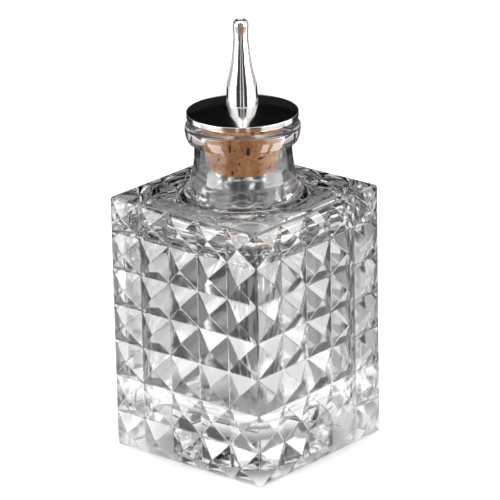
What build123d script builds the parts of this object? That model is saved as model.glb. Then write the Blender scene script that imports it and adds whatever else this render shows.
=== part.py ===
from build123d import *
from math import hypot
import os

# A square bitters bottle of pressed glass with a corked metal dasher head.
# Millimetres, +Z up, with the origin on the table at the middle of the base.
# The sides face along X and Y.

# Glass body
body_width = 50.0  # from the grooves of one side to those of the opposite side
body_height = 70.2  # table to shoulder
columns = 5
rows = 7
lowest_groove_drop = 0.2  # the lowest groove would lie this far below the table
highest_groove_rise = 0.51  # and the highest this far above the shoulder
peak_height = 1.8  # a pyramid's tip above the grooves round it
envelope_corner_round = 6.8  # the rounded box round the pyramids, which trims the upright edges
base_round = 3.0  # of the same box, as is the next
shoulder_round = 2.6
push_up_diameter = 34.0  # shallow hollow under the base
push_up_depth = 0.8

# Cavity of the body
wall_thickness = 4.0  # from the grooves inwards
floor_thickness = 13.0
shoulder_thickness = 4.2
cavity_corner_round = 8.0
cavity_floor_round = 5.0
cavity_shoulder_round = 6.0
throat_round = 3.0  # where the cavity runs into the neck

# Neck and lip
neck_rise = 19.0  # from the shoulder up to the lip's top
neck_diameter = 25.6
neck_bore_diameter = 20.8
flare_foot_diameter = 38.0
flare_drop = 8.4  # how far the neck stays upright before it flares
flare_reach = 4.6  # how far the flare runs out flat over the shoulder
flare_sink = 0.3  # the flare's foot ends this far inside the shoulder
lip_diameter = 30.5
lip_crown_round = 0.9
lip_edge_diameter = 29.3  # the lower edge of the ring's side
lip_edge_drop = 4.3  # from the lip's top down to that edge
lip_foot_drop = 4.9  # from the lip's top down to the neck, under a narrow ledge
lip_foot_round = 0.8
lip_edge_round = 0.4
mouth_round = 1.6

# Cork
cork_length = 14.1
cork_taper = 1.25  # radius lost from top to bottom
cork_clearance = 0.1  # between the cork's top and the neck's bore
cork_edge_bevel = 0.5
disc_lift = 1.7  # gap between the lip and the disc, where the cork shows

# Stem tube, a hollow screw from below the cork up into the spout
stem_diameter = 5.0
stem_bore_diameter = 3.0
stem_engagement = 7.3  # how far it stands above the cork
stem_flange_diameter = 7.8
stem_flange_thickness = 0.6
stem_flange_round = 0.2
stem_tip_bevel = 0.4
cork_hole_clearance = 0.05

# Cap disc
disc_diameter = 29.5
disc_edge_thickness = 1.4
disc_edge_round = 0.25
disc_rise = 2.1  # from the rim's top up to the spout's seat
seat_diameter = 9.0

# Dasher spout
spout_foot_diameter = 8.4
spout_height = 22.8
spigot_diameter = 6.4
spigot_clearance = 0.08
spigot_shortfall = 0.3  # the spigot ends this far above the disc's underside
socket_clearance = 0.08  # round the stem tube
socket_headroom = 0.6  # above the stem tube
channel_diameter = 2.4
orifice_diameter = 1.5
orifice_length = 1.6
# The spout's outline from foot to tip, as shares of the foot's radius and of the height
spout_outline_shares = (
    (1.0, 0.0),
    (0.976, 0.13),
    (0.925, 0.24),
    (0.72, 0.40),
    (0.575, 0.545),
    (0.455, 0.77),
    (0.487, 0.945),
)

# Pitches of the pyramids, and heights that several pieces share
column_pitch = body_width / columns
row_pitch = (body_height + lowest_groove_drop + highest_groove_rise) / rows
glass_height = body_height + neck_rise
cavity_top = body_height - shoulder_thickness
disc_underside = glass_height + disc_lift
cork_bottom = disc_underside - cork_length
disc_rim_top = disc_underside + disc_edge_thickness
seat_height = disc_rim_top + disc_rise
stem_top = disc_underside + stem_engagement
spout_top = seat_height + spout_height
cut_overrun = 2.0  # how far a cut runs past the face that it opens


def side_of_peaks(count, pitch, start):
    """Points (along, outward) of a row of grooves and peaks, groove first and last."""
    points = []
    for step in range(2 * count + 1):
        outward = body_width / 2 + peak_height * (step % 2)
        points.append((start + step * pitch / 2, outward))
    return points


def plan_outline():
    """The body's outline seen from above: a row of peaks on each of the four sides."""
    side = side_of_peaks(columns, column_pitch, -body_width / 2)[:-1]
    points = []
    for along, outward in side:
        points.append((along, -outward))
    for along, outward in side:
        points.append((outward, along))
    for along, outward in side:
        points.append((-along, outward))
    for along, outward in side:
        points.append((-outward, -along))
    return points


def upright_outline():
    """The body's outline seen from the side: a row of peaks up each edge."""
    right = [(outward, height) for height, outward in side_of_peaks(rows, row_pitch, -lowest_groove_drop)]
    left = [(-outward, height) for outward, height in reversed(right)]
    return right + left


# Hollow of the bottle, cut from the glass below
with BuildPart() as hollow:
    with BuildSketch(Plane.XY.offset(floor_thickness)):
        cavity_width = body_width - 2 * wall_thickness
        RectangleRounded(cavity_width, cavity_width, cavity_corner_round)
    extrude(amount=cavity_top - floor_thickness)
    fillet(hollow.faces().sort_by(Axis.Z)[0].edges(), cavity_floor_round)
    fillet(hollow.faces().sort_by(Axis.Z)[-1].edges(), cavity_shoulder_round)
    with BuildSketch(Plane.XY.offset(cavity_top)):
        Circle(neck_bore_diameter / 2)
    extrude(amount=glass_height + cut_overrun - cavity_top)
    throat = hollow.edges().filter_by(GeomType.CIRCLE).filter_by_position(Axis.Z, cavity_top, cavity_top)
    fillet(throat.filter_by(lambda edge: edge.radius == neck_bore_diameter / 2), throat_round)

# Rounded box that trims the ends and the upright edges of the pyramids
with BuildPart() as envelope:
    with BuildSketch():
        envelope_width = body_width + 2 * peak_height
        RectangleRounded(envelope_width, envelope_width, envelope_corner_round)
    extrude(amount=body_height)
    fillet(envelope.faces().sort_by(Axis.Z)[0].edges(), base_round)
    fillet(envelope.faces().sort_by(Axis.Z)[-1].edges(), shoulder_round)

with BuildPart() as glass_bottle:
    # The pyramids are what is left where three ridged bars cross
    with BuildSketch(Plane.XY.offset(-cut_overrun)):
        with BuildLine():
            Polyline(*plan_outline(), close=True)
        make_face()
    extrude(amount=body_height + 2 * cut_overrun)
    for upright in (Plane.XZ, Plane.YZ):
        with BuildSketch(upright.offset(-body_width)):
            with BuildLine():
                Polyline(*upright_outline(), close=True)
            make_face()
        extrude(amount=2 * body_width, mode=Mode.INTERSECT)
    add(envelope.part, mode=Mode.INTERSECT)
    # Flared neck and lip ring
    with BuildSketch(Plane.XZ) as neck:
        with BuildLine():
            flare_foot = (flare_foot_diameter / 2, body_height - flare_sink)
            neck_foot = (neck_diameter / 2, glass_height - lip_foot_drop)
            lip_edge = (lip_edge_diameter / 2, glass_height - lip_edge_drop)
            lip_side = (lip_diameter / 2, glass_height - lip_crown_round)
            lip_crown = (lip_diameter / 2 - lip_crown_round, glass_height)
            Line((0, body_height - flare_sink), flare_foot)
            Bezier(
                flare_foot,
                (flare_foot[0] - flare_reach, flare_foot[1]),
                (neck_foot[0], neck_foot[1] - flare_drop),
                neck_foot,
            )
            Line(neck_foot, lip_edge)
            TangentArc(lip_side, lip_edge, tangent=(0, -1))
            RadiusArc(lip_crown, lip_side, lip_crown_round)
            Line(lip_crown, (0, glass_height))
            Line((0, glass_height), (0, body_height - flare_sink))
        make_face()
        fillet(neck.vertices().sort_by_distance((*neck_foot, 0))[0], lip_foot_round)
        fillet(neck.vertices().sort_by_distance((*lip_edge, 0))[0], lip_edge_round)
    revolve(axis=Axis.Z)
    add(hollow.part, mode=Mode.SUBTRACT)
    mouth = glass_bottle.edges().filter_by(GeomType.CIRCLE).group_by(Axis.Z)[-1].sort_by(SortBy.RADIUS)[0]
    fillet(mouth, mouth_round)
    # Shallow hollow under the base
    with BuildSketch(Plane.XZ):
        with BuildLine():
            half = push_up_diameter / 2
            crown_radius = (half**2 + push_up_depth**2) / (2 * push_up_depth)
            Line((0, 0), (half, 0))
            RadiusArc((0, push_up_depth), (half, 0), crown_radius)
            Line((0, push_up_depth), (0, 0))
        make_face()
    revolve(axis=Axis.Z, mode=Mode.SUBTRACT)

with BuildPart() as cork_stopper:
    with BuildSketch(Plane.XZ) as cork_profile:
        with BuildLine():
            top_radius = neck_bore_diameter / 2 - cork_clearance
            bottom_radius = top_radius - cork_taper
            hole_radius = stem_diameter / 2 + cork_hole_clearance
            Polyline(
                (hole_radius, cork_bottom),
                (bottom_radius, cork_bottom),
                (top_radius, disc_underside),
                (hole_radius, disc_underside),
                close=True,
            )
        make_face()
        chamfer(cork_profile.vertices().group_by(Axis.Y)[0].sort_by(Axis.X)[-1], cork_edge_bevel)
    revolve(axis=Axis.Z)

with BuildPart() as stem_tube:
    flange_bottom = cork_bottom - stem_flange_thickness
    with BuildSketch(Plane.XY.offset(flange_bottom)):
        Circle(stem_flange_diameter / 2)
    extrude(amount=stem_flange_thickness)
    fillet(stem_tube.faces().sort_by(Axis.Z)[0].edges(), stem_flange_round)
    with BuildSketch(Plane.XY.offset(cork_bottom)):
        Circle(stem_diameter / 2)
    extrude(amount=stem_top - cork_bottom)
    chamfer(stem_tube.faces().sort_by(Axis.Z)[-1].edges(), stem_tip_bevel)
    with BuildSketch(Plane.XY.offset(flange_bottom)):
        Circle(stem_bore_diameter / 2)
    extrude(amount=stem_top - flange_bottom, mode=Mode.SUBTRACT)

with BuildPart() as cap_disc:
    with BuildSketch(Plane.XZ) as disc_profile:
        with BuildLine():
            rim = disc_diameter / 2
            seat = seat_diameter / 2
            hole = spigot_diameter / 2 + spigot_clearance
            Polyline(
                (rim, disc_rim_top),
                (rim, disc_underside),
                (hole, disc_underside),
                (hole, seat_height),
                (seat, seat_height),
            )
            # The dome is part of a sphere whose centre lies on the axis, this far below the seat
            centre_drop = (rim**2 - seat**2 + disc_rise**2) / (2 * disc_rise)
            dome_radius = hypot(centre_drop, seat)
            RadiusArc((seat, seat_height), (rim, disc_rim_top), dome_radius)
        make_face()
        rim_corners = disc_profile.vertices().group_by(Axis.X)[-1]
        fillet(rim_corners, disc_edge_round)
    revolve(axis=Axis.Z)

with BuildPart() as dasher_spout:
    with BuildSketch(Plane.XZ):
        with BuildLine():
            foot_radius = spout_foot_diameter / 2
            points = []
            for radius_share, height_share in spout_outline_shares:
                points.append((radius_share * foot_radius, seat_height + height_share * spout_height))
            side = Spline(*points)
            TangentArc(points[-1], (orifice_diameter / 2, spout_top), tangent=side % 1)
            Polyline(
                (orifice_diameter / 2, spout_top),
                (0, spout_top),
                (0, disc_underside + spigot_shortfall),
                (spigot_diameter / 2, disc_underside + spigot_shortfall),
                (spigot_diameter / 2, seat_height),
                points[0],
            )
        make_face()
    revolve(axis=Axis.Z)
    socket_bottom = disc_underside + spigot_shortfall
    socket_top = stem_top + socket_headroom
    with BuildSketch(Plane.XY.offset(socket_bottom)):
        Circle(stem_diameter / 2 + socket_clearance)
    extrude(amount=socket_top - socket_bottom, mode=Mode.SUBTRACT)
    with BuildSketch(Plane.XY.offset(socket_top)):
        Circle(channel_diameter / 2)
    extrude(amount=spout_top - orifice_length - socket_top, mode=Mode.SUBTRACT)
    with BuildSketch(Plane.XY.offset(spout_top - orifice_length)):
        Circle(orifice_diameter / 2)
    extrude(amount=orifice_length + cut_overrun, mode=Mode.SUBTRACT)

os.makedirs("parts", exist_ok=True)
glass_bottle.part.label = "glass_bottle"
export_step(glass_bottle.part, "parts/glass_bottle.step")
cork_stopper.part.label = "cork_stopper"
export_step(cork_stopper.part, "parts/cork_stopper.step")
stem_tube.part.label = "stem_tube"
export_step(stem_tube.part, "parts/stem_tube.step")
cap_disc.part.label = "cap_disc"
export_step(cap_disc.part, "parts/cap_disc.step")
dasher_spout.part.label = "dasher_spout"
export_step(dasher_spout.part, "parts/dasher_spout.step")
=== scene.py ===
"""A square bitters bottle: faceted pressed glass, a natural cork and a polished pouring head.

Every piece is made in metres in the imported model's frame and rides on one of its bodies.
"""

import math
import random

import bmesh
import bpy
from mathutils import Matrix, Vector, noise
from mathutils.geometry import interpolate_bezier


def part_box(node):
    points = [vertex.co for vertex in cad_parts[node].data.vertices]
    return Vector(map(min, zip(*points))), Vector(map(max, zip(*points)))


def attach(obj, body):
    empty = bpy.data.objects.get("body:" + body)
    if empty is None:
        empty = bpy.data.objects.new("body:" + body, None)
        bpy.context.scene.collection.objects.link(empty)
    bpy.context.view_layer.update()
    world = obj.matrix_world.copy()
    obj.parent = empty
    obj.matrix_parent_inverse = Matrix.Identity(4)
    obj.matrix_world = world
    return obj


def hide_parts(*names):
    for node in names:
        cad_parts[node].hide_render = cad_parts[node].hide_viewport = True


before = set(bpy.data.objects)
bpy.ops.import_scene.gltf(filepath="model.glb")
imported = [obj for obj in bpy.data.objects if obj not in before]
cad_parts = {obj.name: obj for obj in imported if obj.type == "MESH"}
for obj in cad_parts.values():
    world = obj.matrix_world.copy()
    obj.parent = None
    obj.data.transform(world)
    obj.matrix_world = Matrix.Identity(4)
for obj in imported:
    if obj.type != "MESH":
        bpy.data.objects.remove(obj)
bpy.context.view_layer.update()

bl_info = {
    "name": "Bitters Bottle",
    "version": (1, 0, 0),
    "blender": (4, 5, 0),
    "location": "View3D > Sidebar > Bottle",
    "description": "Builds a faceted bitters bottle with a corked pouring head",
    "category": "Add Mesh",
}

MM = 0.001
GLASS_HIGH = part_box("glass_bottle")[1]
CORK_LOW, CORK_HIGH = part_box("cork_stopper")
STEM_LOW, STEM_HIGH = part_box("stem_tube")
DISC_LOW, DISC_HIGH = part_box("cap_disc")
SPOUT_LOW, SPOUT_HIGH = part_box("dasher_spout")

# Points that meet within this distance are one
WELD = 0.01 * MM

# Steps along each side and round each corner of the square rings in the glass
SIDE_STEPS = 20
CORNER_STEPS = 12

# The colour sockets of a Mix node, whose names aren't unique
MIX_A = 6
MIX_B = 7
MIX_RESULT = 2

# The studio. Headings are degrees clockwise from straight beyond the bottle, elevations are degrees up from
# its middle, and distances and radii are metres from its axis.
EYE_LEVEL = 50 * MM
MAT_HEIGHT = 1 * MM
GLARE_HEIGHT = 2 * MM
WHITE = Vector((1.0, 1.0, 1.0))

# Standing cards as (name, first and last heading, lowest and highest elevation, distance, colour)
CARDS = (
    ("card_behind", -20, 20, -10, 22, 0.60, WHITE * 0.015),
    ("card_above", -32, 32, 20, 68, 0.62, WHITE * 0.004),
    ("card_low_right", 20, 72, -10, 9, 0.61, Vector((0.62, 0.52, 0.51))),
    ("card_low_left", 288, 340, -10, 9, 0.61, Vector((0.60, 0.50, 0.50))),
    ("card_behind_right", 20, 70, 9, 22, 0.62, WHITE * 0.15),
    ("card_behind_left", 285, 340, 9, 42, 0.64, WHITE * 0.25),
    ("card_front_right", 143, 166, -10, 55, 0.60, WHITE * 0.03),
    ("card_front", 173, 188, -10, 55, 0.60, WHITE * 0.02),
    ("card_front_left", 194, 222, -10, 55, 0.60, WHITE * 0.03),
)

# Cards on the floor as (name, first and last heading, inner and outer radius, colour)
MATS = (
    ("mat_front", 128, 218, 0.038, 0.245, WHITE * 0.04),
    ("mat_warm", 146, 216, 0.245, 0.302, Vector((0.42, 0.21, 0.11))),
    ("mat_warm_right", 85, 146, 0.245, 0.302, Vector((0.36, 0.24, 0.20))),
    ("mat_warm_left", 216, 275, 0.245, 0.302, Vector((0.40, 0.31, 0.28))),
    ("mat_front_right", 143, 166, 0.302, 0.60, WHITE * 0.03),
    ("mat_front_far", 173, 188, 0.302, 0.60, WHITE * 0.02),
    ("mat_front_left", 194, 222, 0.302, 0.60, WHITE * 0.03),
    ("mat_back_mid", -17, 17, 0.038, 0.17, WHITE * 0.03),
    ("mat_back_right", 17, 60, 0.038, 0.17, WHITE * 0.24),
    ("mat_back_left", -60, -17, 0.038, 0.17, WHITE * 0.22),
    ("mat_back_far", -60, 60, 0.17, 0.50, WHITE * 0.03),
    ("mat_left", 218, 300, 0.038, 0.20, WHITE * 0.25),
    ("mat_right", 60, 128, 0.038, 0.20, WHITE * 0.45),
)

# Bright cards over the mats, laid out like them and seen in gloss only
GLARES = (
    ("glare_left", 225, 256, 0.062, 0.185, WHITE * 8.0),
    ("glare_right_near", 89, 117, 0.062, 0.185, WHITE * 8.0),
    ("glare_right_far", 125, 140, 0.062, 0.185, WHITE * 8.0),
)

# Standing cards that are seen in gloss only
SHEENS = (
    ("sheen_left", 216, 262, 20, 55, 0.58, WHITE * 1.3),
    ("sheen_right", 96, 146, 20, 55, 0.58, WHITE * 1.3),
    ("sheen_front", 150, 210, 50, 76, 0.30, Vector((0.46, 0.38, 0.35))),
)

# A standing card that is seen through the glass only
WINDOWS = (
    ("window_behind", -11, 9, -6, 20, 0.59, Vector((0.82, 0.78, 0.76))),
)

# Lamps as (name, heading, distance, height, (width, tallness), power in watts)
LAMPS = (
    ("lamp_left", 248, 0.34, 0.095, (0.24, 0.13), 0.85),
    ("lamp_right", 111, 0.36, 0.095, (0.34, 0.13), 1.0),
    ("lamp_overhead", 180, 0.20, 1.30, (0.90, 0.90), 8.0),
)


def length(name, description, millimetres):
    """A length property in metres, from its default in millimetres."""
    return bpy.props.FloatProperty(
        name=name, description=description, default=millimetres * MM, min=0.0, unit="LENGTH", precision=5
    )


def share(name, description, default):
    """A property from nothing to one."""
    return bpy.props.FloatProperty(
        name=name, description=description, default=default, min=0.0, max=1.0, subtype="FACTOR"
    )


def colour(name, description, default):
    """A linear colour property."""
    return bpy.props.FloatVectorProperty(
        name=name, description=description, default=default, min=0.0, max=1.0, subtype="COLOR", size=3
    )


def angle(name, description, degrees):
    """An angle property, from its default in degrees."""
    return bpy.props.FloatProperty(
        name=name, description=description, default=math.radians(degrees), subtype="ANGLE"
    )


class GlassSettings(bpy.types.PropertyGroup):
    """Sizes and tint of the glass bottle."""

    columns: bpy.props.IntProperty(name="Columns", description="Pyramids across a side", default=5, min=1)
    rows: bpy.props.IntProperty(name="Rows", description="Pyramids up a side", default=7, min=1)
    peak: length("Peak height", "From the grooves out to a pyramid's tip", 1.8)
    body_height: length("Body height", "Table to shoulder", 70.2)
    groove_drop: length("Lowest groove drop", "How far the lowest groove lies below the table", 0.2)
    groove_rise: length("Highest groove rise", "How far the highest lies above the shoulder", 0.51)
    facet_round: length("Facet edge round", "Half width of the soft edge between two facets", 0.2)
    corner_round: length("Corner round", "Half width of the rounding of the body's own edges", 0.5)
    base_ring: length("Base ring", "Inner radius of the flat ring under the base", 17.0)
    push_up: length("Push-up", "Depth of the hollow under the base", 0.8)
    wall: length("Wall", "From the grooves in to the cavity", 4.0)
    floor: length("Floor", "Thickness of the glass floor", 13.0)
    roof: length("Roof", "Thickness of the shoulder", 4.2)
    cavity_corner: length("Cavity corner", "Radius of the cavity's upright edges", 8.0)
    cavity_foot: length("Cavity foot", "Radius at the cavity's floor", 5.0)
    cavity_head: length("Cavity head", "Radius at the cavity's roof", 6.0)
    throat: length("Throat", "Radius where the cavity runs into the neck", 3.0)
    bore: length("Bore radius", "Radius inside the neck", 10.4)
    neck: length("Neck radius", "Radius outside the neck, under the lip", 12.8)
    flare_foot: length("Flare foot", "Radius where the neck meets the shoulder", 18.4)
    flare_reach: length("Flare reach", "How far the flare runs out flat", 3.9)
    flare_drop: length("Flare drop", "How far the neck stays upright before it flares", 8.4)
    lip: length("Lip radius", "Widest radius of the lip", 15.25)
    lip_crown: length("Lip crown", "Radius of the lip's upper edge", 0.9)
    lip_edge: length("Lip edge", "Radius at the lower edge of the lip's side", 14.65)
    lip_edge_drop: length("Lip edge drop", "From the lip's top down to that edge", 4.3)
    lip_foot_drop: length("Lip foot drop", "From the lip's top down to the neck", 4.9)
    lip_edge_round: length("Lip edge round", "Radius of the lip's lower edge", 0.5)
    mouth: length("Mouth round", "Radius of the lip's inner edge", 1.6)
    seam: length("Seam height", "How far the mould's seam stands out of the neck", 0.07)
    tint: colour("Tint", "Colour of the glass", (0.965, 0.972, 0.975))
    haze: share("Haze", "Roughness of the cavity's walls", 0.11)
    haze_fade: length("Haze fade", "Height over which the haze fades under the shoulder", 4.0)
    bore_haze: share("Bore haze", "Roughness of the bore round the cork", 0.03)
    neck_haze: share("Neck haze", "Roughness of the neck inside, under the cork", 0.14)
    roof_haze: share("Roof haze", "Roughness of the cavity's roof", 0.02)
    outer_haze: share("Outer haze", "Roughness of the neck outside", 0.13)
    lip_haze: share("Lip haze", "Roughness of the lip outside", 0.06)
    haze_reach: length("Haze reach", "How far the neck's haze goes up past the cork's foot", 6.0)
    foot_height: length("Foot height", "Height of the neck's wavy foot", 4.0)
    corner_haze: share("Corner haze", "Roughness of the outermost columns and below the cavity", 0.08)
    shoulder_waves: bpy.props.FloatProperty(
        name="Shoulder waves", description="How much wavier the shoulder is than the cavity", default=10.0
    )


class CorkSettings(bpy.types.PropertyGroup):
    """Sizes and colours of the cork."""

    taper: length("Taper", "Radius lost from top to bottom", 1.25)
    hole: length("Hole", "Radius of the hole for the stem tube", 2.55)
    bevel: length("Bevel", "Bevel of the lower edge", 0.5)
    pit_depth: length("Pit depth", "Depth of the largest pits", 0.55)
    pale: colour("Pale", "Lighter cork", (0.94, 0.46, 0.19))
    warm: colour("Warm", "Darker cork", (0.78, 0.29, 0.095))
    # The bottom of the pits: the cork's dark pores with painted shade, mixed in more the deeper a pit is
    dark: colour("Dark", "Bottom of the pits", (0.055, 0.022, 0.012))


class MetalSettings(bpy.types.PropertyGroup):
    """Sizes and colours of the pouring head and the stem."""

    disc_edge: length("Disc edge", "Thickness of the disc's rim", 1.4)
    disc_edge_round: length("Disc edge round", "Radius of the rim's corners", 0.12)
    disc_seat: length("Disc seat", "Radius of the flat that the spout stands on", 4.5)
    disc_hole: length("Disc hole", "Radius of the hole for the spout's spigot", 3.28)
    spigot: length("Spigot", "Radius of the spout's spigot", 3.2)
    orifice: length("Orifice", "Radius of the hole in the spout's tip", 0.75)
    orifice_depth: length("Orifice depth", "Length of that hole", 1.6)
    channel: length("Channel", "Radius of the channel behind the hole", 1.2)
    socket: length("Socket", "Radius of the socket round the stem", 2.58)
    stem: length("Stem", "Radius of the stem tube", 2.5)
    stem_bore: length("Stem bore", "Radius of the tube's bore", 1.5)
    stem_flange: length("Stem flange", "Thickness of the flange under the cork", 0.6)
    steel: colour("Steel", "Reflection colour of the polished steel", (0.82, 0.80, 0.79))
    stem_steel: colour("Stem steel", "Reflection colour of the turned tube", (0.60, 0.60, 0.61))


class StageSettings(bpy.types.PropertyGroup):
    """The floor, the surround and the camera."""

    camera: bpy.props.FloatVectorProperty(
        name="Camera", description="Where the camera stands", size=3, unit="LENGTH",
        default=(0.6687, -0.7784, 0.4212),
    )
    azimuth: angle("Azimuth", "The camera's heading", 40.596)
    elevation: angle("Elevation", "How far it looks down", 19.711)
    roll: angle("Roll", "Its tilt to the side", -1.190)
    lens: bpy.props.FloatProperty(name="Lens", description="Focal length", default=296.22, unit="CAMERA")
    floor: colour("Floor", "Colour of the floor", (0.72, 0.72, 0.72))
    floor_lift: share("Floor lift", "What the floor gains where it is seen", 0.58)
    # Painted shadow under the bottle: the share of the floor's lift that is left there
    floor_shade: share("Floor shade", "What is left of that right under the bottle", 0.3)
    surround: share("Surround", "Strength of the light from all round", 0.35)


def first_output(source):
    """A node's first output, or a socket as it is."""
    return source.outputs[0] if isinstance(source, bpy.types.Node) else source


def add_node(tree, kind, *links, **values):
    """A new node with its properties and inputs set, and its inputs linked from (source, input) pairs."""
    node = tree.nodes.new(kind)
    for name, value in values.items():
        if hasattr(node, name):
            setattr(node, name, value)
        else:
            node.inputs[name.replace("_", " ")].default_value = value
    for source, target in links:
        tree.links.new(first_output(source), node.inputs[target])
    return node


def calculated(tree, operation, *values):
    """The result of a math node on nodes, sockets or numbers."""
    node = tree.nodes.new("ShaderNodeMath")
    node.operation = operation
    for socket, value in zip(node.inputs, map(first_output, values)):
        if isinstance(value, bpy.types.NodeSocket):
            tree.links.new(value, socket)
        else:
            socket.default_value = value
    return node.outputs[0]


def bumped(tree, height, strength, depth):
    """A normal that follows a height, which stands for so much depth."""
    return add_node(tree, "ShaderNodeBump", (height, "Height"), Strength=strength, Distance=depth)


def object_place(tree):
    """The place on the piece, in the piece's own coordinates."""
    return add_node(tree, "ShaderNodeTexCoord").outputs["Object"]


def new_material(name):
    """An empty node material and its node tree."""
    material = bpy.data.materials.new(name)
    material.use_nodes = True
    material.node_tree.nodes.clear()
    return material, material.node_tree


def close_material(tree, kind, *links, **values):
    """Makes the material's own shader and links it to the surface."""
    shader = add_node(tree, kind, *links, **values)
    add_node(tree, "ShaderNodeOutputMaterial", (shader, "Surface"))


def add_object(name, data):
    """A new object in the scene."""
    thing = bpy.data.objects.new(name, data)
    bpy.context.scene.collection.objects.link(thing)
    return thing


def object_from_bmesh(name, bm, material):
    """A smooth shaded object at the origin, in the scene."""
    mesh = bpy.data.meshes.new(name)
    bm.to_mesh(mesh)
    bm.free()
    mesh.materials.append(material)
    mesh.shade_smooth()
    return add_object(name, mesh)


def finished(piece):
    """The piece with its modifiers applied, as a plain mesh."""
    bpy.context.view_layer.update()
    graph = bpy.context.evaluated_depsgraph_get()
    mesh = bpy.data.meshes.new_from_object(piece.evaluated_get(graph))
    mesh.name = piece.name
    piece.modifiers.clear()
    piece.data = mesh
    return piece


def take_place(piece, body, node):
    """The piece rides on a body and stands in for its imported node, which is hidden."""
    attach(piece, body)
    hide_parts(node)


def arc(centre, radius, start, end, steps):
    """Points (radius, height) on an arc, both ends included, with the angles in degrees."""
    points = []
    for step in range(steps + 1):
        angle = math.radians(start + (end - start) * step / steps)
        points.append((centre[0] + radius * math.cos(angle), centre[1] + radius * math.sin(angle)))
    return points


def bezier(first, first_handle, last_handle, last, steps):
    """Points (radius, height) on a cubic curve, both ends included."""
    flat = [Vector((*point, 0.0)) for point in (first, first_handle, last_handle, last)]
    return [(point.x, point.y) for point in interpolate_bezier(*flat, steps + 1)]


def smooth_line(knots, steps):
    """Points on a smooth line through all the knots."""
    points = []
    for index in range(len(knots) - 1):
        before = Vector(knots[max(index - 1, 0)])
        here = Vector(knots[index])
        there = Vector(knots[index + 1])
        after = Vector(knots[min(index + 2, len(knots) - 1)])
        handle = here + (there - before) / 6
        other = there - (after - here) / 6
        points += bezier(here, handle, other, there, steps)[:-1]
    return points + [knots[-1]]


def ring(bm, points):
    """New vertices at the points."""
    return [bm.verts.new(point) for point in points]


def skin(bm, rings):
    """Quads from each ring of vertices to the next."""
    for lower, upper in zip(rings, rings[1:]):
        for index in range(len(lower)):
            after = (index + 1) % len(lower)
            bm.faces.new((lower[index], lower[after], upper[after], upper[index]))


def circle(radius, height, count):
    """Points round a level circle about the vertical axis."""
    angles = [math.tau * step / count for step in range(count)]
    return [(radius * math.cos(angle), radius * math.sin(angle), height) for angle in angles]


def turned(profile, count):
    """A mesh turned about the vertical axis from a closed profile of points (radius, height)."""
    bm = bmesh.new()
    rings = [ring(bm, circle(radius, height, count)) for radius, height in profile]
    skin(bm, rings + rings[:1])
    bmesh.ops.recalc_face_normals(bm, faces=bm.faces)
    return bm


def faceted_tree(values):
    """Geometry nodes for the four sides of square pyramids, open above and below, with named inputs."""
    tree = bpy.data.node_groups.new("faceted_sides", "GeometryNodeTree")
    tree.interface.new_socket("Geometry", in_out="OUTPUT", socket_type="NodeSocketGeometry")
    for name, value in values.items():
        kind = {float: "NodeSocketFloat", int: "NodeSocketInt"}.get(type(value), "NodeSocketMaterial")
        tree.interface.new_socket(name, in_out="INPUT", socket_type=kind)
    given = tree.nodes.new("NodeGroupInput").outputs
    drop = given["Groove Drop"]
    tall = calculated(tree, "ADD", calculated(tree, "ADD", given["Height"], drop), given["Groove Rise"])
    grid = add_node(
        tree,
        "GeometryNodeMeshGrid",
        (given["Width"], "Size X"),
        (tall, "Size Y"),
        (calculated(tree, "ADD", given["Columns"], 1), "Vertices X"),
        (calculated(tree, "ADD", given["Rows"], 1), "Vertices Y"),
    )
    raised = add_node(
        tree, "GeometryNodeExtrudeMesh", (grid.outputs["Mesh"], "Mesh"), (given["Peak"], "Offset Scale")
    )
    pointed = add_node(
        tree,
        "GeometryNodeScaleElements",
        (raised.outputs["Mesh"], "Geometry"),
        (raised.outputs["Top"], "Selection"),
        Scale=0.0,
    )
    pyramids = add_node(
        tree, "GeometryNodeMergeByDistance", (pointed, "Geometry"), (given["Weld"], "Distance")
    )
    # The grid stands up on its side, and its first and last grooves are drawn in to the body's own ends
    position = tree.nodes.new("GeometryNodeInputPosition")
    place = add_node(tree, "ShaderNodeSeparateXYZ", (position, 0))
    lift = calculated(tree, "SUBTRACT", calculated(tree, "MULTIPLY", tall, 0.5), drop)
    height = calculated(tree, "ADD", place.outputs["Y"], lift)
    inside = calculated(tree, "MINIMUM", calculated(tree, "MAXIMUM", height, 0.0), given["Height"])
    front = calculated(tree, "MULTIPLY", given["Width"], -0.5)
    out = calculated(tree, "SUBTRACT", front, place.outputs["Z"])
    upright = add_node(tree, "ShaderNodeCombineXYZ", (place.outputs["X"], "X"), (out, "Y"), (inside, "Z"))
    side = add_node(tree, "GeometryNodeSetPosition", (pyramids, "Geometry"), (upright, "Position"))
    corners = add_node(tree, "GeometryNodeMeshLine", Count=4, Offset=(0.0, 0.0, 0.0))
    number = tree.nodes.new("GeometryNodeInputIndex")
    quarter = calculated(tree, "MULTIPLY", number, math.pi / 2)
    turn = add_node(tree, "ShaderNodeCombineXYZ", (quarter, "Z"))
    sides = add_node(
        tree, "GeometryNodeInstanceOnPoints", (corners, "Points"), (side, "Instance"), (turn, "Rotation")
    )
    real = add_node(tree, "GeometryNodeRealizeInstances", (sides, "Geometry"))
    welded = add_node(tree, "GeometryNodeMergeByDistance", (real, "Geometry"), (given["Weld"], "Distance"))
    coated = add_node(
        tree, "GeometryNodeSetMaterial", (welded, "Geometry"), (given["Material"], "Material")
    )
    add_node(tree, "NodeGroupOutput", (coated, "Geometry"))
    return tree


def rounded_square(half, corner):
    """Points (x, y) round a square with rounded corners, with one point on each diagonal."""
    points = []
    flat = half - corner
    for quarter in range(4):
        turn = Matrix.Rotation(quarter * math.pi / 2, 2)
        for step in range(SIDE_STEPS):
            points.append(turn @ Vector((half, flat * (2 * step / SIDE_STEPS - 1))))
        for step in range(CORNER_STEPS):
            angle = math.pi / 2 * step / CORNER_STEPS
            across = flat + corner * math.cos(angle)
            along = flat + corner * math.sin(angle)
            points.append(turn @ Vector((across, along)))
    return points


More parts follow.
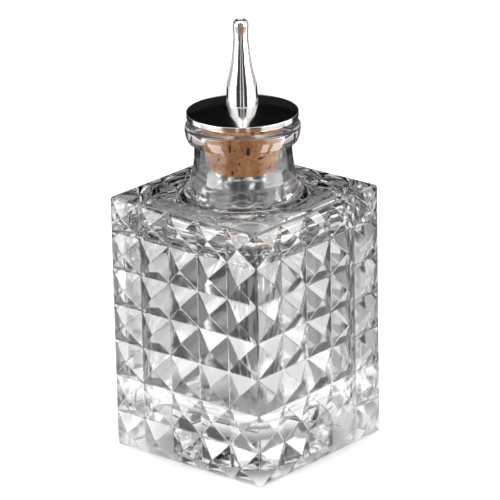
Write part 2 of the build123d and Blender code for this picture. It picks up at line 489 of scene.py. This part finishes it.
def square_ring(bm, half, corner, level):
    """New vertices round a level square with rounded corners."""
    return ring(bm, [(*point, level) for point in rounded_square(half, corner)])


def glass_material(tint):
    """Clear pressed glass, faintly wavy, with more haze and waves where its mesh is marked for them."""
    material, tree = new_material("bottle_glass")
    place = object_place(tree)
    hazy = add_node(tree, "ShaderNodeAttribute", attribute_name="haze").outputs["Fac"]
    wavy = add_node(tree, "ShaderNodeAttribute", attribute_name="waves").outputs["Fac"]
    wave = add_node(tree, "ShaderNodeTexNoise", (place, "Vector"), Scale=110.0, Detail=1.0)
    # The swell is drawn out upwards, and counts more than the fine waves
    swell_weight = 6.0
    drawn = add_node(tree, "ShaderNodeMapping", (place, "Vector"), Scale=(1.0, 1.0, 0.3))
    swell = add_node(tree, "ShaderNodeTexNoise", (drawn, "Vector"), Scale=120.0, Detail=0.0)
    more = calculated(tree, "MULTIPLY", swell, wavy)
    height = calculated(tree, "MULTIPLY_ADD", more, swell_weight, wave)
    close_material(
        tree,
        "ShaderNodeBsdfPrincipled",
        (bumped(tree, height, 0.25, 0.12 * MM), "Normal"),
        (hazy, "Roughness"),
        Base_Color=(*tint, 1.0),
        IOR=1.51,
        Transmission_Weight=1.0,
    )
    return material


def polish_group():
    """Fine polishing marks: roughness and height that vary over the surface."""
    tree = bpy.data.node_groups.new("polish_marks", "ShaderNodeTree")
    for name, side, kind in (
        ("Vector", "INPUT", "NodeSocketVector"),
        ("Roughness", "INPUT", "NodeSocketFloat"),
        ("Spread", "INPUT", "NodeSocketFloat"),
        ("Roughness", "OUTPUT", "NodeSocketFloat"),
        ("Height", "OUTPUT", "NodeSocketFloat"),
    ):
        tree.interface.new_socket(name, in_out=side, socket_type=kind)
    given = tree.nodes.new("NodeGroupInput").outputs
    # Rings about the axis: the marks run round the piece, so they change with radius and height alone
    parts = add_node(tree, "ShaderNodeSeparateXYZ", (given["Vector"], 0))
    flat = add_node(tree, "ShaderNodeCombineXYZ", (parts.outputs["X"], "X"), (parts.outputs["Y"], "Y"))
    radius = add_node(tree, "ShaderNodeVectorMath", (flat, 0), operation="LENGTH")
    rings = add_node(
        tree, "ShaderNodeCombineXYZ", (radius.outputs["Value"], "X"), (parts.outputs["Z"], "Z")
    )
    fine = add_node(tree, "ShaderNodeTexNoise", (rings, "Vector"), Scale=9000.0, Detail=3.0)
    cloud = add_node(tree, "ShaderNodeTexNoise", (given["Vector"], "Vector"), Scale=160.0, Detail=4.0)
    mixed = calculated(tree, "MULTIPLY", fine, cloud)
    rough = calculated(tree, "MULTIPLY_ADD", mixed, given["Spread"], given["Roughness"])
    add_node(tree, "NodeGroupOutput", (rough, "Roughness"), (fine, "Height"))
    return tree


def steel_material(name, tint, roughness, spread, marks):
    """Steel with polishing marks round its axis."""
    material, tree = new_material(name)
    place = object_place(tree)
    group = bpy.data.node_groups.get("polish_marks") or polish_group()
    polish = add_node(
        tree, "ShaderNodeGroup", (place, "Vector"), node_tree=group, Roughness=roughness, Spread=spread
    )
    close_material(
        tree,
        "ShaderNodeBsdfPrincipled",
        (polish.outputs["Roughness"], "Roughness"),
        (bumped(tree, polish.outputs["Height"], marks, 0.02 * MM), "Normal"),
        Base_Color=(*tint, 1.0),
        Metallic=1.0,
    )
    return material


def cork_material(cork):
    """Natural cork: mottled warm cells, fine grain and dark pits, whose darkness is partly painted shade.
    """
    material, tree = new_material("natural_cork")
    place = object_place(tree)
    cells = add_node(tree, "ShaderNodeTexVoronoi", (place, "Vector"), Scale=1700.0)
    cloud = add_node(tree, "ShaderNodeTexNoise", (place, "Vector"), Scale=260.0, Detail=6.0, Roughness=0.65)
    pits = add_node(tree, "ShaderNodeAttribute", attribute_name="pit")
    contrast = add_node(tree, "ShaderNodeMapRange", (cloud, "Value"), From_Min=0.36, From_Max=0.60)
    mottle = add_node(tree, "ShaderNodeMix", (contrast, 0), data_type="RGBA", clamp_factor=True)
    mottle.inputs[MIX_A].default_value = (*cork.warm, 1.0)
    mottle.inputs[MIX_B].default_value = (*cork.pale, 1.0)
    grain = add_node(
        tree, "ShaderNodeMapRange", (cells.outputs["Distance"], "Value"), To_Min=1.12, To_Max=0.82
    )
    grained = add_node(
        tree, "ShaderNodeVectorMath", (mottle.outputs[MIX_RESULT], 0), (grain, "Scale"), operation="SCALE"
    )
    # The pits darken with their depth: the cork's dark pores and painted shade in them
    holed = add_node(tree, "ShaderNodeMix", (pits.outputs["Fac"], 0), (grained, MIX_A), data_type="RGBA")
    holed.inputs[MIX_B].default_value = (*cork.dark, 1.0)
    height = calculated(tree, "ADD", cloud, cells)
    close_material(
        tree,
        "ShaderNodeBsdfPrincipled",
        (holed.outputs[MIX_RESULT], "Base Color"),
        (bumped(tree, height, 0.5, 0.1 * MM), "Normal"),
        Roughness=0.78,
    )
    return material


def seen_directly(tree):
    """One for camera rays, gloss and rays through glass, and zero for the light that falls on things."""
    path = add_node(tree, "ShaderNodeLightPath").outputs
    seen = path["Is Camera Ray"]
    for kind in ("Is Glossy Ray", "Is Transmission Ray"):
        seen = calculated(tree, "MAXIMUM", seen, path[kind])
    return seen


def floor_material(tint, lift, shade):
    """A pale floor that keeps the shadows, lifted to white where it is seen, and lifted less right under
    the bottle: a painted shadow there.
    """
    material, tree = new_material("floor")
    place = object_place(tree)
    away = add_node(tree, "ShaderNodeVectorMath", (place, 0), operation="LENGTH")
    # Painted shadow: the lift drops to the floor shade's share of it under the bottle, fading in from 36 mm
    # to 20 mm off its axis
    rise = add_node(
        tree,
        "ShaderNodeMapRange",
        (away.outputs["Value"], "Value"),
        From_Min=20 * MM,
        From_Max=36 * MM,
        To_Min=shade * lift,
        To_Max=lift,
    )
    strength = calculated(tree, "MULTIPLY", seen_directly(tree), rise)
    close_material(
        tree,
        "ShaderNodeBsdfPrincipled",
        (strength, "Emission Strength"),
        Base_Color=(*tint, 1.0),
        Roughness=0.9,
        Specular_IOR_Level=0.0,
        Emission_Color=(1.0, 1.0, 1.0, 1.0),
    )
    return material


def glass_profile(glass, top):
    """The outside of neck and lip, and the bore down to the throat, as points (radius, height)."""
    foot = (glass.neck, top - glass.lip_foot_drop)
    edge = (glass.lip_edge, top - glass.lip_edge_drop)
    side_height = top - glass.lip_crown
    fall = side_height - edge[1]
    inset = glass.lip - glass.lip_edge
    side_radius = (fall**2 + inset**2) / (2 * inset)
    side_turn = math.asin(fall / side_radius)
    side_angle = math.degrees(side_turn)
    roof = glass.body_height - glass.roof
    profile = bezier(
        (glass.flare_foot, glass.body_height),
        (glass.flare_foot - glass.flare_reach, glass.body_height),
        (foot[0], foot[1] - glass.flare_drop),
        foot,
        steps=20,
    )
    # Under the ring lies a narrow ledge, with a small hollow curve at its foot and a crisp edge
    bend = 0.35 * MM
    dip = 0.3 * bend
    ledge_angle = -75
    profile[-1] = (foot[0], foot[1] - bend)
    profile += [(foot[0] + dip, foot[1] - dip), (foot[0] + bend, foot[1])]
    edge_centre = (
        edge[0] - glass.lip_edge_round * math.cos(side_turn),
        edge[1] + glass.lip_edge_round * math.sin(side_turn),
    )
    crown_centre = (glass.lip - glass.lip_crown, side_height)
    profile += arc(edge_centre, glass.lip_edge_round, ledge_angle, -side_angle, steps=5)
    profile += arc((glass.lip - side_radius, side_height), side_radius, -side_angle, 0, steps=8)[1:]
    profile += arc(crown_centre, glass.lip_crown, 0, 90, steps=10)[1:]
    mouth = glass.bore + glass.mouth
    profile += arc((mouth, top - glass.mouth), glass.mouth, 90, 180, steps=8)
    bore_parts = 6
    for part in range(1, bore_parts - 1):
        profile.append((glass.bore, top - (top - roof) * part / bore_parts))
    throat_centre = (glass.bore + glass.throat, roof + glass.throat)
    profile += arc(throat_centre, glass.throat, 180, 270, steps=10)
    return profile


def cavity_profile(glass):
    """The cavity's wall from roof to floor, as points (how far in from the wall's face, height)."""
    head, foot = glass.cavity_head, glass.cavity_foot
    high = glass.body_height - glass.roof - head
    low = glass.floor + foot
    wall_parts = 4
    profile = arc((head, high), head, 90, 180, steps=12)
    profile += [(0.0, high + (low - high) * part / wall_parts) for part in range(1, wall_parts)]
    profile += arc((foot, low), foot, 180, 270, steps=10)
    return profile


def add_neck_and_cavity(bm, glass, half, top):
    """The neck, lip, bore and cavity as one open skin. Returns the ring that lies on the shoulder."""
    inner = half - glass.wall
    cavity = cavity_profile(glass)
    inset = cavity[0][0]
    roof_edge = rounded_square(inner - inset, glass.cavity_corner - inset)
    angles = [math.atan2(point.y, point.x) for point in roof_edge]
    # The mould's two seams run up the neck on one diagonal
    seam_columns = [SIDE_STEPS + CORNER_STEPS // 2 + turn * (SIDE_STEPS + CORNER_STEPS) for turn in (0, 2)]
    # Round the flare's foot lies a square ring, from which the flat shoulder is filled
    shoulder_inset = 2.5 * MM
    shoulder_corner = 2 * MM
    rings = [square_ring(bm, half - shoulder_inset, shoulder_corner, glass.body_height)]
    for radius, level in glass_profile(glass, top):
        outside = level < top and radius > glass.bore + glass.mouth
        turn = []
        for index, angle in enumerate(angles):
            reach = radius + glass.seam if index in seam_columns and outside else radius
            turn.append((reach * math.cos(angle), reach * math.sin(angle), level))
        rings.append(ring(bm, turn))
    for inset, level in cavity:
        rings.append(square_ring(bm, inner - inset, glass.cavity_corner - inset, level))
    skin(bm, rings)
    bm.faces.new(rings[-1])
    return rings[0]


def loop_at(bm, level):
    """The open edges that lie at a height."""
    return [
        edge
        for edge in bm.edges
        if edge.is_boundary and all(abs(vertex.co.z - level) < WELD for vertex in edge.verts)
    ]


def draw_in(bm, level, half):
    """A flat strip of quads from the body's outline at a height inwards. Returns its inner edges."""
    edge_width = 1.5 * MM
    made = bmesh.ops.extrude_edge_only(bm, edges=loop_at(bm, level))["geom"]
    vertices = [item for item in made if isinstance(item, bmesh.types.BMVert)]
    bmesh.ops.scale(bm, vec=(1 - edge_width / half, 1 - edge_width / half, 1.0), verts=vertices)
    return [item for item in made if isinstance(item, bmesh.types.BMEdge) and item.is_boundary]


def glass_marks(glass, half, place):
    """The roughness and the waves of the glass at a place, which its material reads."""
    x, y, z = place
    near = 0.02 * MM
    roof = glass.body_height - glass.roof
    inner = half - glass.wall
    last_column = half - 2 * half / glass.columns
    far, close = max(abs(x), abs(y)), min(abs(x), abs(y))
    if far < inner + near and glass.floor - near < z < roof + near:
        fade = min(max((roof - glass.cavity_head - z) / glass.haze_fade, 0.0), 1.0)
        return glass.roof_haze + (glass.haze - glass.roof_haze) * fade, 1.0
    if z >= roof and math.hypot(x, y) < glass.bore + near and z < GLASS_HIGH.z - glass.mouth:
        return glass.bore_haze if z > CORK_LOW.z else glass.neck_haze, 1.0
    if abs(z - glass.body_height) < near:
        return 0.0, glass.shoulder_waves
    if glass.body_height < z < glass.body_height + glass.foot_height:
        return glass.outer_haze / 2, glass.shoulder_waves / 2
    if glass.body_height < z < CORK_LOW.z + glass.haze_reach:
        return glass.outer_haze, 0.0
    if z > glass.body_height:
        return glass.lip_haze, 0.0
    if far > inner + near and (close > last_column or z < glass.floor):
        return glass.corner_haze, 0.0
    return 0.0, 0.0


def mark_glass(piece, glass, half):
    """Gives each point of the glass its roughness and its waves."""
    haze = piece.data.attributes.new("haze", "FLOAT", "POINT")
    waves = piece.data.attributes.new("waves", "FLOAT", "POINT")
    for index, vertex in enumerate(piece.data.vertices):
        rough, wavy = glass_marks(glass, half, vertex.co)
        haze.data[index].value = rough
        waves.data[index].value = wavy
    return piece


def faceted_sides(glass, half, material):
    """The four faceted sides, open above and below, with how much each of their edges is rounded."""
    sides = add_object("sides", bpy.data.meshes.new("sides"))
    values = {
        "Width": 2 * half,
        "Height": glass.body_height,
        "Groove Drop": glass.groove_drop,
        "Groove Rise": glass.groove_rise,
        "Peak": glass.peak,
        "Columns": glass.columns,
        "Rows": glass.rows,
        "Weld": WELD,
        "Material": material,
    }
    modifier = sides.modifiers.new("facets", "NODES")
    modifier.node_group = faceted_tree(values)
    for item in modifier.node_group.interface.items_tree:
        if item.in_out == "INPUT":
            modifier[item.identifier] = values[item.name]
    finished(sides)
    bm = bmesh.new()
    bm.from_mesh(sides.data)
    bpy.data.objects.remove(sides)
    weight = bm.edges.layers.float.new("bevel_weight_edge")
    for edge in bm.edges:
        on_corner = all(min(abs(end.co.x), abs(end.co.y)) > half - WELD for end in edge.verts)
        outer = on_corner or edge.is_boundary
        edge[weight] = 1.0 if outer else glass.facet_round / glass.corner_round
    return bm


def add_base(bm, glass, outline):
    """The flat ring that the bottle stands on, and the hollow inside it, which is part of a sphere."""
    crown = (glass.base_ring**2 + glass.push_up**2) / (2 * glass.push_up)
    rings = []
    steps = 12
    for step in range(steps):
        radius = glass.base_ring * (1 - step / steps)
        level = glass.push_up - (crown - math.sqrt(crown**2 - radius**2))
        rings.append(ring(bm, circle(radius, level, 96)))
    skin(bm, rings[::-1])
    bm.faces.new(rings[-1])
    stand = [edge for edge in loop_at(bm, 0.0) if edge.verts[0] in rings[0]]
    bmesh.ops.triangle_fill(bm, edges=outline + stand, use_beauty=True, normal=(0.0, 0.0, -1.0))


def make_glass(glass):
    """The glass bottle's mesh: faceted sides, flat shoulder, neck and lip, cavity and hollow base."""
    material = glass_material(glass.tint)
    half = GLASS_HIGH.x - glass.peak
    bm = faceted_sides(glass, half, material)
    shoulder = draw_in(bm, glass.body_height, half)
    base = draw_in(bm, 0.0, half)
    neck_ring = add_neck_and_cavity(bm, glass, half, GLASS_HIGH.z)
    foot = [edge for edge in loop_at(bm, glass.body_height) if edge.verts[0] in neck_ring]
    bmesh.ops.triangle_fill(bm, edges=shoulder + foot, use_beauty=True, normal=(0.0, 0.0, 1.0))
    add_base(bm, glass, base)
    bmesh.ops.recalc_face_normals(bm, faces=bm.faces)
    piece = object_from_bmesh("glass", bm, material)
    bevel = piece.modifiers.new("edges", "BEVEL")
    bevel.limit_method = "WEIGHT"
    bevel.width = glass.corner_round
    bevel.segments = 3
    bevel.use_clamp_overlap = True
    normals = piece.modifiers.new("normals", "WEIGHTED_NORMAL")
    normals.weight = 100
    return mark_glass(finished(piece), glass, half)


# The largest pits as (degrees round from the front edge, height above the cork's foot, half width and half
# length in millimetres, share of the full depth)
LARGE_PITS = (
    (-44, 4.7, 0.45, 0.50, 0.9),
    (-56, 2.4, 0.35, 0.45, 0.8),
    (-11, 4.0, 0.35, 0.40, 0.9),
    (22, 5.3, 0.80, 0.35, 1.0),
    (-23, 9.0, 0.30, 1.10, 0.9),
    (2, 8.3, 0.50, 1.30, 1.0),
    (-22, 10.8, 0.30, 0.35, 0.8),
    (2, 10.9, 0.65, 0.25, 0.9),
    (10, 12.3, 0.50, 0.30, 1.0),
    (25, 12.2, 0.80, 0.30, 1.0),
    (-22, 1.3, 0.30, 0.70, 0.8),
    (40, 2.1, 0.28, 0.90, 0.7),
)
SMALL_PITS = 420


def pits_on_cork(radius):
    """The large pits and many small ones, as (angle, height, half angle, half length, depth share)."""
    chance = random.Random(7)
    low, high = CORK_LOW.z, CORK_HIGH.z
    front = -math.pi / 4
    pits = []
    for heading, level, wide, tall, depth in LARGE_PITS:
        angle = math.radians(heading) + front
        pits.append((angle, low + level * MM, wide * MM / radius, tall * MM, depth))
    for _ in range(SMALL_PITS):
        size = 0.08 * MM + 0.16 * MM * chance.random() ** 3
        angle, level = chance.uniform(0, math.tau), chance.uniform(low, high)
        tall = size * chance.uniform(0.8, 2.2)
        pits.append((angle, level, size / radius, tall, chance.uniform(0.2, 0.7)))
    return pits


def depth_at(pits, angle, height):
    """How deep the cork is pitted at a place on its side, as a share of the full depth."""
    deepest = 0.0
    for pit_angle, pit_height, half_angle, half_length, depth in pits:
        up = (height - pit_height) / half_length
        if abs(up) < 1:
            across = ((angle - pit_angle + math.pi) % math.tau - math.pi) / half_angle
            inside = 1 - across * across - up * up
            if inside > 0:
                deepest = max(deepest, depth * math.sqrt(inside))
    return deepest


def make_cork(cork):
    """The cork's mesh, with its pits pressed into the side."""
    top_radius = CORK_HIGH.x
    bottom_radius = top_radius - cork.taper
    low, high = CORK_LOW.z, CORK_HIGH.z
    slope = cork.taper / (high - low)
    top_bevel = 0.5 * MM
    # The grain lies this deep, and changes over about a millimetre
    grain_depth = 0.02 * MM
    grain_scale = 900
    pit_dark_and_shade = 1.6
    count = 300
    levels = 110
    pits = pits_on_cork(top_radius)
    profile = [(cork.hole, low), (bottom_radius - 3 * cork.bevel, low), (bottom_radius - cork.bevel, low)]
    profile.append((bottom_radius, low + cork.bevel))
    side_start = len(profile)
    for level in range(1, levels + 1):
        height = low + cork.bevel + (high - low - cork.bevel) * level / levels
        profile.append((bottom_radius + (height - low) * slope, height))
    side_end = len(profile) - 1
    profile += [(top_radius - top_bevel, high), (cork.hole, high)]
    bm = bmesh.new()
    layer = bm.verts.layers.float.new("pit")
    rings = [ring(bm, circle(radius, height, count)) for radius, height in profile]
    for number in range(side_start, side_end):
        radius, height = profile[number]
        for step, vertex in enumerate(rings[number]):
            depth = depth_at(pits, math.tau * step / count, height)
            rough = noise.noise(vertex.co * grain_scale) * grain_depth
            # A pit's colour mark grows with its depth: partly its dark pores, partly painted shade
            vertex[layer] = min(1.0, depth * pit_dark_and_shade)
            shrink = 1 - (depth * cork.pit_depth + grain_depth + rough) / radius
            vertex.co.x *= shrink
            vertex.co.y *= shrink
    skin(bm, rings + rings[:1])
    bmesh.ops.recalc_face_normals(bm, faces=bm.faces)
    return object_from_bmesh("cork", bm, cork_material(cork))


def polished_steel(metal):
    """The polished steel that disc and spout share."""
    name = "polished_steel"
    made = bpy.data.materials.get(name)
    return made or steel_material(name, metal.steel, roughness=0.03, spread=0.05, marks=0.02)


def make_disc(metal):
    """The domed disc over the mouth."""
    rim = DISC_HIGH.x
    low, high = DISC_LOW.z, DISC_HIGH.z
    rise = high - low - metal.disc_edge
    seat = metal.disc_seat
    seat_edge = 0.98 * seat
    centre_drop = (rim**2 - seat**2 + rise**2) / (2 * rise)
    dome = math.hypot(centre_drop, seat)
    corner = metal.disc_edge_round
    rim_turn = math.asin((rim - corner) / (dome - corner))
    rim_angle = 90 - math.degrees(rim_turn)
    seat_angle = 90 - math.degrees(math.asin(seat / dome))
    dome_centre = (0.0, high - centre_drop)
    corner_centre = (
        (dome - corner) * math.sin(rim_turn),
        dome_centre[1] + (dome - corner) * math.cos(rim_turn),
    )
    profile = [(metal.disc_hole, low), (rim - 2 * corner, low)]
    profile += arc((rim - corner, low + corner), corner, -90, 0, steps=8)
    profile += [(rim, low + 2 * corner), (rim, corner_centre[1] - corner)]
    profile += arc(corner_centre, corner, 0, rim_angle, steps=8)
    profile += arc(dome_centre, dome, rim_angle, seat_angle, steps=40)[1:]
    profile += [(seat_edge, high), (metal.disc_hole, high)]
    return object_from_bmesh("disc", turned(profile, 256), polished_steel(metal))


# The spout's outline, as shares (of its widest radius, of its height above the disc)
OUTLINE_SHARES = (
    (1.0, 0.0),
    (0.976, 0.13),
    (0.925, 0.24),
    (0.72, 0.40),
    (0.575, 0.545),
    (0.455, 0.77),
    (0.487, 0.945),
)


def make_spout(metal):
    """The bottle-shaped spout with its spigot, socket, channel and hole."""
    foot = SPOUT_HIGH.x
    seat, top = DISC_HIGH.z, SPOUT_HIGH.z
    low = SPOUT_LOW.z
    # The foot's underside steps in by its edge and runs down a hair to the spigot
    foot_edge = 0.15 * MM
    foot_fall = 0.02 * MM
    # The tip swells out a little, then rounds over to the rim of the hole
    tip_swell = 0.05 * MM
    tip_rise = 0.7 * MM
    tip_round = 0.75 * MM
    hole_rim = 0.15 * MM
    hole_bevel = 0.12 * MM
    stem_gap = 0.6 * MM
    knots = [(radius * foot, seat + level * (top - seat)) for radius, level in OUTLINE_SHARES]
    tip = knots[-1]
    profile = [(metal.spigot, low), (metal.spigot, seat - foot_fall), (foot - foot_edge, seat)]
    profile += smooth_line(knots, steps=10)
    profile += bezier(
        tip,
        (tip[0] + tip_swell, tip[1] + tip_rise),
        (metal.orifice + tip_round, top),
        (metal.orifice + hole_rim, top),
        steps=10,
    )[1:]
    inner = top - metal.orifice_depth
    socket_top = STEM_HIGH.z + stem_gap
    profile += [(metal.orifice, top - hole_bevel), (metal.orifice, inner), (metal.channel, inner)]
    profile += [(metal.channel, socket_top), (metal.socket, socket_top), (metal.socket, low)]
    return object_from_bmesh("spout", turned(profile, 160), polished_steel(metal))


def make_stem(metal):
    """The tube through the cork, with its flange."""
    flange = STEM_HIGH.x
    low, top = STEM_LOW.z, STEM_HIGH.z
    seat = low + metal.stem_flange
    soft = 0.2 * MM
    tip = 0.4 * MM
    profile = [(metal.stem_bore, low), (flange - soft, low)]
    profile += arc((flange - soft, low + soft), soft, -90, 0, steps=5)[1:]
    profile += [(flange, seat), (metal.stem, seat), (metal.stem, top - tip), (metal.stem - tip, top)]
    profile.append((metal.stem_bore, top))
    steel = steel_material("stem_steel", metal.stem_steel, roughness=0.18, spread=0.25, marks=0.2)
    return object_from_bmesh("stem", turned(profile, 96), steel)


def make_card(name, corners, tint, in_gloss, through_glass):
    """A studio card that shows in gloss, through the glass or in both."""
    bm = bmesh.new()
    bm.faces.new(ring(bm, corners))
    material, tree = new_material(name)
    close_material(tree, "ShaderNodeEmission", Color=(*tint, 1.0), Strength=1.0)
    card = object_from_bmesh(name, bm, material)
    card.visible_camera = False
    card.visible_diffuse = False
    card.visible_shadow = False
    card.visible_glossy = in_gloss
    card.visible_transmission = through_glass


def add_lamp(name, place, size, power):
    """A soft rectangular lamp that looks at the bottle's middle and is not seen through the glass."""
    lamp = bpy.data.lights.new(name, "AREA")
    lamp.shape = "RECTANGLE"
    lamp.size, lamp.size_y = size
    lamp.energy = power
    holder = add_object(name, lamp)
    holder.visible_transmission = False
    holder.location = place
    aim = Vector((0.0, 0.0, EYE_LEVEL)) - place
    holder.rotation_euler = aim.to_track_quat("-Z", "Y").to_euler()


def make_world(soft):
    """A white surround that lights the object at a plain level."""
    world = bpy.data.worlds.new("studio")
    bpy.context.scene.world = world
    world.use_nodes = True
    tree = world.node_tree
    tree.nodes.clear()
    dim, white = (
        add_node(tree, "ShaderNodeBackground", Color=(1.0, 1.0, 1.0, 1.0), Strength=strength)
        for strength in (soft, 1.0)
    )
    mixed = add_node(tree, "ShaderNodeMixShader", (seen_directly(tree), 0), (dim, 1), (white, 2))
    add_node(tree, "ShaderNodeOutputWorld", (mixed, "Surface"))


def make_floor(stage):
    """The pale floor."""
    reach = 4.0
    corners = [(-reach, -reach, 0), (reach, -reach, 0), (reach, reach, 0), (-reach, reach, 0)]
    bm = bmesh.new()
    bm.faces.new(ring(bm, corners))
    material = floor_material(stage.floor, stage.floor_lift, stage.floor_shade)
    object_from_bmesh("floor", bm, material)


def make_camera(stage):
    """The camera, turned to its heading, tipped down and rolled."""
    camera = add_object("camera", bpy.data.cameras.new("camera"))
    camera.matrix_world = (
        Matrix.Translation(stage.camera)
        @ Matrix.Rotation(stage.azimuth, 4, "Z")
        @ Matrix.Rotation(math.pi / 2 - stage.elevation, 4, "X")
        @ Matrix.Rotation(stage.roll, 4, "Z")
    )
    camera.data.lens = stage.lens
    camera.data.clip_start = 0.01
    bpy.context.scene.camera = camera


def spot(stage, heading, distance, height):
    """The point on a heading from the bottle, so far out and so high."""
    turn = stage.azimuth - math.radians(heading)
    return Vector((-math.sin(turn) * distance, math.cos(turn) * distance, height))


def headings(first, last, steps):
    """The headings from the first to the last, both included."""
    return [first + (last - first) * step / steps for step in range(steps + 1)]


def make_cards(stage):
    """The cards that stand round the bottle and those that lie on the floor."""
    for cards, in_gloss, through_glass in (
        (CARDS, True, True),
        (SHEENS, True, False),
        (WINDOWS, False, True),
    ):
        for name, first, last, low, high, distance, tint in cards:
            foot = EYE_LEVEL + distance * math.tan(math.radians(low))
            head = EYE_LEVEL + distance * math.tan(math.radians(high))
            turns = headings(first, last, steps=6)
            lower = [spot(stage, turn, distance, max(foot, MAT_HEIGHT)) for turn in turns]
            upper = [spot(stage, turn, distance, head) for turn in reversed(turns)]
            make_card(name, lower + upper, tint, in_gloss, through_glass)
    for cards, height, through_glass in ((MATS, MAT_HEIGHT, True), (GLARES, GLARE_HEIGHT, False)):
        for name, first, last, near, far, tint in cards:
            turns = headings(first, last, steps=12)
            inner = [spot(stage, turn, near, height) for turn in turns]
            outer = [spot(stage, turn, far, height) for turn in reversed(turns)]
            make_card(name, inner + outer, tint, True, through_glass)


def make_stage(stage):
    """The floor, surround, camera, cards and lamps."""
    bpy.context.scene.view_settings.view_transform = "Standard"
    make_floor(stage)
    make_world(stage.surround)
    make_camera(stage)
    make_cards(stage)
    for name, heading, distance, height, size, power in LAMPS:
        add_lamp(name, spot(stage, heading, distance, height), size, power)


class BottleOperator:
    """What all the operators share."""

    bl_options = {"REGISTER", "UNDO"}


class BOTTLE_OT_stage(BottleOperator, bpy.types.Operator):
    """Make the floor, lamps, cards and camera"""

    bl_idname = "bottle.stage"
    bl_label = "Stage"

    def execute(self, context):
        make_stage(context.scene.bottle_stage)
        return {"FINISHED"}


class BOTTLE_OT_glass(BottleOperator, bpy.types.Operator):
    """Make the faceted glass bottle"""

    bl_idname = "bottle.glass"
    bl_label = "Glass bottle"

    def execute(self, context):
        take_place(make_glass(context.scene.bottle_glass), "bottle", "glass_bottle")
        return {"FINISHED"}


class BOTTLE_OT_cork(BottleOperator, bpy.types.Operator):
    """Make the cork with its pits"""

    bl_idname = "bottle.cork"
    bl_label = "Cork"

    def execute(self, context):
        take_place(make_cork(context.scene.bottle_cork), "stopper", "cork_stopper")
        return {"FINISHED"}


class BOTTLE_OT_stem(BottleOperator, bpy.types.Operator):
    """Make the stem tube"""

    bl_idname = "bottle.stem"
    bl_label = "Stem tube"

    def execute(self, context):
        take_place(make_stem(context.scene.bottle_metal), "stopper", "stem_tube")
        return {"FINISHED"}


class BOTTLE_OT_disc(BottleOperator, bpy.types.Operator):
    """Make the cap disc"""

    bl_idname = "bottle.disc"
    bl_label = "Cap disc"

    def execute(self, context):
        take_place(make_disc(context.scene.bottle_metal), "cap", "cap_disc")
        return {"FINISHED"}


class BOTTLE_OT_spout(BottleOperator, bpy.types.Operator):
    """Make the dasher spout"""

    bl_idname = "bottle.spout"
    bl_label = "Dasher spout"

    def execute(self, context):
        take_place(make_spout(context.scene.bottle_metal), "spout", "dasher_spout")
        return {"FINISHED"}


OPERATORS = (
    BOTTLE_OT_stage,
    BOTTLE_OT_glass,
    BOTTLE_OT_cork,
    BOTTLE_OT_stem,
    BOTTLE_OT_disc,
    BOTTLE_OT_spout,
)


class BOTTLE_PT_panel(bpy.types.Panel):
    """The sidebar panel that lists the bottle's pieces"""

    bl_idname = "BOTTLE_PT_panel"
    bl_label = "Bitters Bottle"
    bl_space_type = "VIEW_3D"
    bl_region_type = "UI"
    bl_category = "Bottle"

    def draw(self, context):
        for operator in OPERATORS:
            self.layout.operator(operator.bl_idname)
        for name in SETTINGS:
            box = self.layout.box()
            group = getattr(context.scene, name)
            for setting in group.bl_rna.properties.keys():
                if setting not in ("rna_type", "name"):
                    box.prop(group, setting)


SETTINGS = {
    "bottle_glass": GlassSettings,
    "bottle_cork": CorkSettings,
    "bottle_metal": MetalSettings,
    "bottle_stage": StageSettings,
}


def register():
    """Registers the settings, the operators and the panel."""
    for name, group in SETTINGS.items():
        bpy.utils.register_class(group)
        setattr(bpy.types.Scene, name, bpy.props.PointerProperty(type=group))
    for part in (*OPERATORS, BOTTLE_PT_panel):
        bpy.utils.register_class(part)


def unregister():
    """Takes them all out again."""
    for part in reversed((*OPERATORS, BOTTLE_PT_panel)):
        bpy.utils.unregister_class(part)
    for name, group in SETTINGS.items():
        delattr(bpy.types.Scene, name)
        bpy.utils.unregister_class(group)


def main():
    """Builds the stage and every piece."""
    register()
    bpy.ops.bottle.stage()
    bpy.ops.bottle.glass()
    bpy.ops.bottle.cork()
    bpy.ops.bottle.stem()
    bpy.ops.bottle.disc()
    bpy.ops.bottle.spout()


if __name__ == "__main__":
    main()
